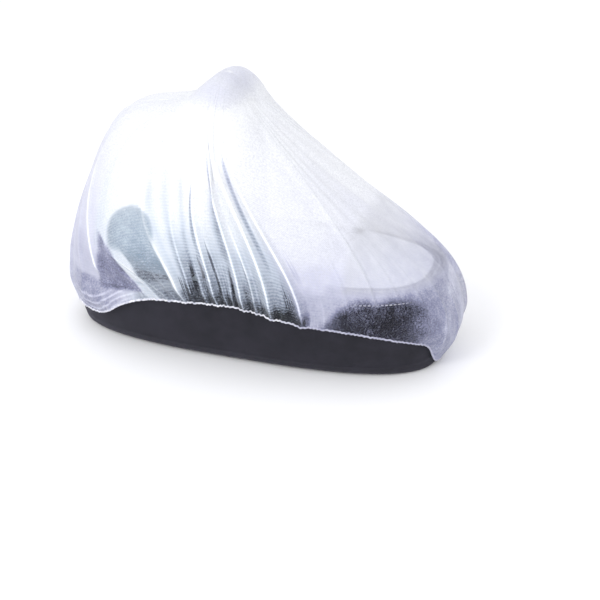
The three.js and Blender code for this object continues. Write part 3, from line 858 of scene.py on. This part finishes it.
def fine_folds(turn, base_loop, share):
    """Small gathers of the hem and soft creases in millimetres, and their crests from 0 to 1."""
    place = base_loop / LOOP
    wander = GATHERS["wander"] * waves(place, 3, 9, 60)
    gather = np.sin(2 * math.pi * base_loop / GATHERS["pitch"] + wander)
    gather_top = GATHERS["share"] + GATHERS["uneven"] * waves(place, 4, 5, 50)
    gather_fade = 1 - smooth(share / gather_top)
    strands = waves(turn / FOLD_COUNT, 5, 90, 210)
    strand_fade = (1 - smooth(share / STRANDS["share"])) * read_table(CREST_SHOW, turn)
    slack = waves(place + 0.05 * share, 6, 12, 40) * bump(share * 2 - 1)
    rise = (GATHERS["high"] * gather * gather_fade + STRANDS["high"] * strands * strand_fade
            + SLACK_HIGH * slack)
    crest = (GATHERS["crest"] * smooth(gather * 5 - 4) * gather_fade
             + STRANDS["crest"] * smooth(strands * 2 - 1.6) * strand_fade)
    return rise, crest


def net_places():
    """Loop distances and shares of the net's points, before the folds drift."""
    columns = [np.arange(low, high, step) for low, high, step in COLUMN_SPACING]
    return np.broadcast_arrays(np.concatenate(columns)[None, :], net_shares()[:, None])


def make_net(smooth_net):
    """The net's sheet, with the line and the normals of its lower edge."""
    base_loop, share = net_places()
    turn = turn_at_hem(base_loop)
    loop, high, crest = column_at(turn, share)
    # Folds that lean into one another would cross their columns, so these are kept in order.
    loop = np.sort(loop, axis=1)
    s, side = place_on_loop(loop)
    point, normal = smooth_net.at(loop, share)
    z = point[..., 2]
    rise, fine_crest = fine_folds(turn, base_loop, share)
    bunched = bell(z, tuck_height(s) - BUNCH["below"], BUNCH["half"])
    bunched = on_near(side, within(s, TUCK)) * bunched
    plump = on_near(side, within(s, LOBE)) * ramp_between(z, PLUMP["none"], PLUMP["full"])
    fan = lobe_fan(s, side, share)
    lift = (high * (1 - PLUMP["flatten"] * plump) + corner_swell(s, side, z) + rise
            + BUNCH["high"] * bunched + FAN["high"] * fan)
    crest = ((crest + fine_crest) * (1 - plump) * read_table(CREST_SHOW, turn)
             + BUNCH["crest"] * bunched + FAN["crest"] * fan)
    point = point + normal * lift[..., None]

    points = np.vstack([point.reshape(-1, 3), (CROWN_X, 0, read_table(SPINE, CROWN_X))])
    rows, count = turn.shape
    faces = ring_faces(rows, count) + fan_faces((rows - 1) * count, count, len(points) - 1)
    net = mesh_object("net_sheet", points * MM, faces)
    paint_net(net, regions_at(s, side, point, turn, share), hollows_at(turn, share), crest)
    places = np.arange(smooth_net.n) * LOOP / smooth_net.n
    length = np.interp(np.mod(loop, LOOP), places, smooth_net.length)
    uv = pairs(base_loop, share * length) * MM
    set_uv(net, np.vstack([uv, uv[-1:]]))
    net.data.materials.append(net_material())
    return net, point[0], normal[0]


def paint_net(net, regions, hollows, crest):
    """The attributes that the net's material reads, with 0 at the crown."""
    broad_shade, broad_clear, cool, dense_and_lit = regions
    hollow_shade, hollow_clear = hollows
    # Crests and the peak's cloth are denser and painted lighter as a highlight; the shade attribute
    # is painted shade.
    crest = crest * (1 - 0.8 * hollow_shade) + PEAK["crest"] * dense_and_lit
    for name, values in (
            ("crest", np.minimum(1, crest)), ("cool", cool),
            ("shade", np.maximum(hollow_shade, broad_shade)),
            ("clear", np.maximum(hollow_clear, broad_clear))):
        point_attribute(net, name, np.append(values.ravel(), 0))


# The hem: a flattened tube, its middle above and outside the net's edge, and its ruffles.
HEM = dict(sides=10, up=2.6, out=0.4, tall=2.5, thick=1.5, ruffle=7.5, more_tall=0.6, more_thick=0.3)


def make_hem(edge, normal):
    """Elastic hem along the lower edge of the net."""
    count, sides = len(edge), HEM["sides"]
    up = unit(np.cross(normal, unit(np.roll(edge, -1, 0) - np.roll(edge, 1, 0))))
    walk = path_walk(edge)
    ruffle = np.sin(2 * math.pi * walk / HEM["ruffle"] + 1.5 * waves(walk / 1000, 8, 3, 20))
    tall = HEM["tall"] + HEM["more_tall"] * ruffle
    thick = HEM["thick"] + HEM["more_thick"] * np.roll(ruffle, 2)
    points = np.stack([
        edge + up * (HEM["up"] + tall * math.sin(a))[:, None]
        + normal * (HEM["out"] + thick * math.cos(a))[:, None] for a in angles(sides)], 1)
    faces = np.array(ring_faces(count + 1, sides))[:, [0, 3, 2, 1]] % (count * sides)
    hem = mesh_object("hem", points.reshape(-1, 3) * MM, faces.tolist())
    set_uv(hem, pairs(walk[:, None], np.arange(sides) * 2.0) * MM)
    near_foot = ramp_between(edge[:, 0], 110, 190) * (edge[:, 1] < 0)
    point_attribute(hem, "shaded", np.repeat(0.75 * near_foot, sides))
    material = hem_material()
    blend_colour(material, "shaded", (0.36, 0.36, 0.50))
    hem.data.materials.append(material)
    return hem


# The pram body
def body_loop(z, inset, height=None, count=220, dent=None):
    a = angles(count)
    dx, dy = BODY["a"] * np.cos(a), BODY["b"] * np.sin(a)
    x, y = body_wall(dx, dy, np.full(count, float(z)), -inset)
    if dent is not None:
        k = 1 - dent(a, z) / np.hypot(x, y)
        x, y = x * k, y * k
    return np.stack([x, y, np.full(count, float(z if height is None else height))], -1)


def rising(low, high, rows, power=1.5):
    return mix(low, high, (np.arange(rows) / (rows - 1)) ** power)


def make_body():
    high, wall, rounding = BODY["high"], BODY["wall"], 4

    def dent(a, z):
        """How far inwards the cloth lies: a seam's piping and soft puckers."""
        piping = -1.6 * bell(z, 30, 2.2)
        pucker = 0.9 * waves(a / (2 * math.pi), 12, 8, 30) * bump((z - 100) / 90)
        return piping + np.maximum(-1.2, pucker)

    side_top = high - rounding
    levels = list(rising(0, side_top, 46, 1.3))
    loops = [body_loop(z, 0, dent=dent) for z in levels]
    for turn in np.linspace(0, math.pi, 9)[1:]:
        inset = wall / 2 * (1 - math.cos(turn))
        levels.append(high)
        loops.append(body_loop(side_top, inset, height=side_top + rounding * math.sin(turn)))
    inner = rising(BODY["floor"], side_top, 14)[::-1][1:]
    loops += [body_loop(z, wall) for z in inner]
    levels += [high] * len(inner)
    body = chain_object("body_shell", loops, first=(0, 0, 0), last=(0, 0, BODY["floor"]))
    walk = path_walk(body_loop(high, 0))
    uv = pairs(walk[None, :], np.array(levels)[:, None])
    set_uv(body, np.vstack([uv, (0, 0), (0, 0)]) * MM)
    material = cloth_material(
        "body_cloth", (0.008, 0.008, 0.012), (0.020, 0.019, 0.028), 0.0016, 0.75, 0.12,
        tint=(0.75, 0.72, 0.95))
    blend_colour(material, rim_stitches(material.node_tree), STITCH["colour"])
    body.data.materials.append(material)
    return body


# Rings of the mattress, as shares of its outline.
MATTRESS_RINGS = (0.94, 0.86, 0.76, 0.66, 0.56, 0.46, 0.36, 0.26, 0.16, 0.08)
QUILT = dict(pitch=55, around=300, deep=1.6)
TUFTS = dict(pitch=78, high=2.4, dome=3.6)


def diamonds(u, v):
    """0 on crossed seams, 1 in the middle between them."""
    return np.abs(np.sin(math.pi * (u + v)) * np.sin(math.pi * (u - v)))


def make_liner():
    outside = BODY["wall"] + LINER["gap"]
    low = BODY["floor"] + LINER["gap"]
    top = BODY["high"] - LINER["below"]
    bed = low + LINER["mattress"]

    def quilt(a, z):
        return -QUILT["deep"] * diamonds(a * QUILT["around"] / QUILT["pitch"], z / QUILT["pitch"])

    side_top = top - 3
    loops = [body_loop(z, outside) for z in rising(low, side_top, 10)]
    loops += [body_loop(side_top, outside + inset, height=top) for inset in (2.5, 5)]
    inside = outside + LINER["wall"]
    loops += [body_loop(z, inside, dent=quilt) for z in rising(bed, side_top, 26, 1.2)[::-1]]
    for k in MATTRESS_RINGS:
        ring = body_loop(bed, inside) * (k, k, 1)
        tufts = diamonds(ring[:, 0] / TUFTS["pitch"], ring[:, 1] / TUFTS["pitch"])
        ring[:, 2] = bed + TUFTS["dome"] * (1 - k ** 2) + TUFTS["high"] * tufts
        loops.append(ring)
    liner = chain_object("liner_pad", loops, first=(0, 0, low), last=(0, 0, bed + 4))
    liner.data.materials.append(cloth_material(
        "liner_cotton", (0.60, 0.61, 0.70), (0.78, 0.79, 0.86), 0.0014, 0.9))
    return liner


# The hood
def outline_at_x(x):
    return np.interp(x, OUT_X, OUT_WALK) - QUARTER


def share_at_foot(rim_x):
    low, high = np.full(rim_x.shape, 0.5), np.ones(rim_x.shape)
    for _ in range(30):
        mid = (low + high) / 2
        over = net_height(rim_x, mid, mix(CROWN_X, rim_x, mid)) > HOOD["foot"]
        low, high = np.where(over, mid, low), np.where(over, high, mid)
    return low


def under_net(rim_x, rim_y, side, share, scale):
    turn = share * math.pi / 2
    r = share_at_foot(rim_x) * mix(np.cos(turn), 1 - share, 0.4)
    x = mix(CROWN_X, rim_x, r)
    z = net_height(rim_x, r, x)
    return np.stack([
        CROWN_X + (x - CROWN_X) * scale[0],
        side * rim_y * r * scale[1],
        HOOD["foot"] + (z - HOOD["foot"]) * scale[2]], -1)


# Bows under the hood's cloth, as shares of the way from head to front, and the cloth's sag.
HOOD_BOWS = dict(places=(0.36, 0.68), half=0.035, sag=1.6)


def make_hood():
    columns, rows = 241, 61
    across, share = np.broadcast_arrays(
        np.linspace(-1, 1, columns)[None, :], np.linspace(0, 1, rows)[:, None])
    s = mix(-QUARTER, outline_at_x(CROWN_X), np.abs(across))
    rim_x, rim_y = outline_at(s)
    side = np.sign(across)
    outer = under_net(rim_x, rim_y, side, share, HOOD["outer"])
    inner = under_net(rim_x, rim_y, side, share, HOOD["inner"])
    held = np.zeros(across.shape)
    for place in HOOD_BOWS["places"]:
        held = np.maximum(held, bell(np.abs(across), place, HOOD_BOWS["half"]))
    sag = (1 - held) * HOOD_BOWS["sag"] * np.sin(share * math.pi)
    outer = outer + unit(inner - outer) * sag[..., None]
    hood = shell_object("hood_canvas", outer, inner)
    x, y, z = np.moveaxis(outer, -1, 0)
    flank = ramp_between(x, -300, -260) * ramp_between(z, 340, 220)
    panel = on_near(y, np.maximum(arch_at(x + 4, z + 6), 0.6 * flank))
    point_attribute(hood, "panel", np.stack([panel, np.zeros(panel.shape)]))
    hood.data.materials.append(hood_material())
    return hood


def hood_material():
    material = cloth_material("hood_canvas", (0.80, 0.83, 0.88), (0.90, 0.92, 0.96), 0.0015)
    blend_colour(material, "panel", (0.22, 0.33, 0.42))
    return material


def make_front_bow():
    """Cloth-covered tube along the front edge of the hood."""
    rim_x, rim_y = outline_at(np.array([outline_at_x(CROWN_X)]))
    steps, sides = 160, 20
    across = np.linspace(-1, 1, steps + 1)
    scale = (1, BOW["inside"], BOW["inside"])
    path = under_net(rim_x, rim_y, np.sign(across), 1 - np.abs(across), scale)
    path[:, 0] = CROWN_X + BOW["radius"] + BOW["gap"]
    out = np.cross((1.0, 0.0, 0.0), unit(np.gradient(path, axis=0)))
    loops = []
    seam = np.where(np.arange(sides) == sides // 4 * 3, BOW["seam"], 0.0)
    corner = BOW["corner"] * bell(angles(sides), 0.75 * math.pi, 0.35)
    for k, (p, o) in enumerate(zip(path, out)):
        radius = BOW["radius"] - BOW["less"] + BOW["uneven"] * math.sin(k * 1.7) + seam + corner
        loops.append(ring_at(p, radius, (1, 0, 0), o))
    bow = chain_object("bow_sleeve", loops, first=path[0], last=path[-1])
    bow.data.materials.append(cloth_material(
        "bow_cloth", (0.72, 0.74, 0.82), (0.84, 0.86, 0.92), 0.0014))
    return bow


# Radius and height of the pivot's face, from its middle out to its back.
PIVOT_FACE = [
    (0.0, 2.2), (4.5, 2.2), (5.2, 1.5), (7.0, 1.5), (7.6, 2.2), (17.5, 2.2), (18.2, 1.6),
    (19.6, 1.6), (20.2, PIVOT["thick"]), (22.8, PIVOT["thick"]), (23.7, 2.5), (24.0, 1.6),
    (23.7, 0.3), (22.8, 0.0)]


def make_pivot(name, side):
    sides = 56

    def middle(out):
        return np.array([PIVOT["x"], side * (PIVOT["y"] + out), PIVOT["z"]])

    loops = [
        ring_at(middle(out), np.full(sides, radius), (1, 0, 0), (0, 0, 1))
        for radius, out in PIVOT_FACE[1:]]
    disc = chain_object(name, loops, first=middle(PIVOT_FACE[0][1]), last=middle(0))
    disc.data.materials.append(plastic_material())
    return disc


# The foot cover
def cover_edge(across):
    a, b, n = BODY["a"] - COVER["inset"], BODY["b"] - COVER["inset"], BODY["square"]
    open_y = b * (1 - (COVER["x"] / a) ** n) ** (1 / n)
    angle = math.atan2(open_y / b, COVER["x"] / a) * across
    c, s = np.cos(angle), np.sin(angle)
    r = (np.abs(c) ** n + np.abs(s) ** n) ** (-1 / n)
    return a * c * r, b * s * r


def make_foot_cover():
    rows, columns = 64, 181
    across = np.linspace(-1, 1, columns)[None, :]
    r = (1 - np.arange(rows) / (rows - 1))[:, None]
    edge_x, edge_y = cover_edge(across)
    rise = COVER["dome"] * (1 - r ** 2) - COVER["sag"] * bump(r * 2 - 1) * (1 - np.abs(across) ** 4)
    crease = 0.8 * waves(across * 0.5, 21, 4, 14) * bump(r * 2 - 1)
    top = BODY["high"] + COVER["gap"] + COVER["thick"]

    def grid(drop):
        return np.stack([
            mix(COVER["x"], edge_x, r), edge_y * r,
            np.broadcast_to(top + rise + crease - drop, (rows, columns))], -1)

    outer, inner = grid(0.0), grid(float(COVER["thick"]))
    cover = shell_object("foot_apron", outer, inner, flip=True)
    margin = (1 - r) * np.hypot(edge_x - COVER["x"], edge_y)
    walk = path_walk(np.stack([edge_x[0], edge_y[0]], -1))
    border = ramp_between(margin, COVER["border"] + 3, COVER["border"])
    point_attribute(cover, "border", np.stack([border, border]))
    uv = pairs(walk[None, :], margin) * MM
    set_uv(cover, np.vstack([uv, uv]))
    cover.data.materials.append(apron_material())
    return cover, make_piping(np.vstack([outer[:, 0], outer[::-1, -1][1:]]))


def apron_material():
    """Pale cover with a dark border."""
    material = cloth_material("apron_cloth", (0.74, 0.76, 0.84), (0.88, 0.89, 0.94), 0.0016, 0.8)
    blend_colour(material, "border", (0.03, 0.03, 0.055))
    blend_colour(material, stitches(material.node_tree, STITCH["cover_row"]), STITCH["colour"])
    return material


def make_piping(path, radius=1.8, sides=10):
    """Pale piping along the open edge of the foot cover."""
    ahead = unit(np.gradient(path, axis=0))
    side = unit(np.cross(ahead, (0.0, 0.0, 1.0)))
    up = np.cross(side, ahead)
    centres = path + (-1.2, 0, -1.0)
    radii = np.full(sides, radius)
    loops = [ring_at(p, radii, first, second) for p, first, second in zip(centres, side, up)]
    piping = chain_object("apron_piping", loops, first=centres[0], last=centres[-1])
    piping.data.materials.append(cloth_material(
        "piping_cloth", (0.55, 0.55, 0.62), (0.78, 0.78, 0.84), 0.0012, 0.8))
    return piping


# Camera, light and floor
VIEW = dict(
    azimuth=19.0, elevation=26.2, distance=3.2, lens=81.6, sensor=36, image=600,
    anchor=(0, 0, 0.160), pixel=(260, 267))
FLOOR_HALF = 14
SKY = dict(colour=(0.98, 0.985, 1.0, 1), strength=1.12)
# Name, place, target, size, power and colour of each light.
LIGHTS = [
    ("key", (-0.9, -2.8, 2.5), (-0.1, 0, 0.3), 1.4, 40, (1, 1, 1)),
    ("fill", (2.4, -2.6, 1.5), (0.1, 0, 0.25), 2.4, 12, (0.93, 0.94, 1.0))]


def make_camera():
    a, e = math.radians(VIEW["azimuth"]), math.radians(VIEW["elevation"])
    back = Vector((math.sin(a) * math.cos(e), -math.cos(a) * math.cos(e), math.sin(e)))
    right = Vector((0, 0, 1)).cross(back).normalized()
    up = back.cross(right)
    metres = VIEW["distance"] * VIEW["sensor"] / VIEW["lens"] / VIEW["image"]
    across, down = (pixel - VIEW["image"] / 2 for pixel in VIEW["pixel"])
    target = Vector(VIEW["anchor"]) - right * across * metres + up * down * metres
    data = bpy.data.cameras.new("camera")
    data.lens = VIEW["lens"]
    data.sensor_width = VIEW["sensor"]
    data.clip_start = 0.05
    data.clip_end = 60
    camera = new_object("camera", data)
    camera.matrix_world = Matrix.Translation(target + back * VIEW["distance"]) @ Matrix(
        (right, up, back)).transposed().to_4x4()
    bpy.context.scene.camera = camera


def area_light(name, place, target, size, power, colour):
    data = bpy.data.lights.new(name, "AREA")
    data.shape = "SQUARE"
    data.size = size
    data.energy = power
    data.color = colour
    obj = new_object(name, data)
    obj.location = place
    obj.rotation_mode = "QUATERNION"
    obj.rotation_quaternion = (Vector(target) - Vector(place)).to_track_quat("-Z", "Y")


def make_stage():
    corners = [(x * FLOOR_HALF, y * FLOOR_HALF, 0) for x, y in ((-1, -1), (1, -1), (1, 1), (-1, 1))]
    floor = mesh_object("floor", corners, [(0, 1, 2, 3)])
    material, _, shader = new_material("floor_paper")
    set_inputs(shader, {
        "Base Color": (0.93, 0.93, 0.94, 1), "Roughness": 0.9, "Specular IOR Level": 0.1})
    floor.data.materials.append(material)
    world = bpy.data.worlds.new("studio")
    world.use_nodes = True
    set_inputs(world.node_tree.nodes["Background"], {
        "Color": SKY["colour"], "Strength": SKY["strength"]})
    bpy.context.scene.world = world
    for light in LIGHTS:
        area_light(*light)
    bpy.context.scene.view_settings.view_transform = "Standard"


def main():
    make_camera()
    make_stage()
    net, edge, edge_normal = make_net(SmoothNet())
    hem = make_hem(edge, edge_normal)
    body, liner, hood, bow = make_body(), make_liner(), make_hood(), make_front_bow()
    pivots = [make_pivot("pivot_disc_near", -1), make_pivot("pivot_disc_far", 1)]
    cover, piping = make_foot_cover()
    parts = [
        (net, "net", "net"), (hem, "net", "net"), (body, "body", "body"), (liner, "liner", "liner"),
        (hood, "hood", "hood"), (bow, "front_bow", "front_bow"), (pivots[0], "pivot", "pivot_near"),
        (pivots[1], "pivot", "pivot_far"), (cover, "foot_cover", "foot_cover"),
        (piping, "foot_cover", "foot_cover"),
    ]
    for obj, slot, replaced in parts:
        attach(obj, "root")
        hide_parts(replaced)


main()
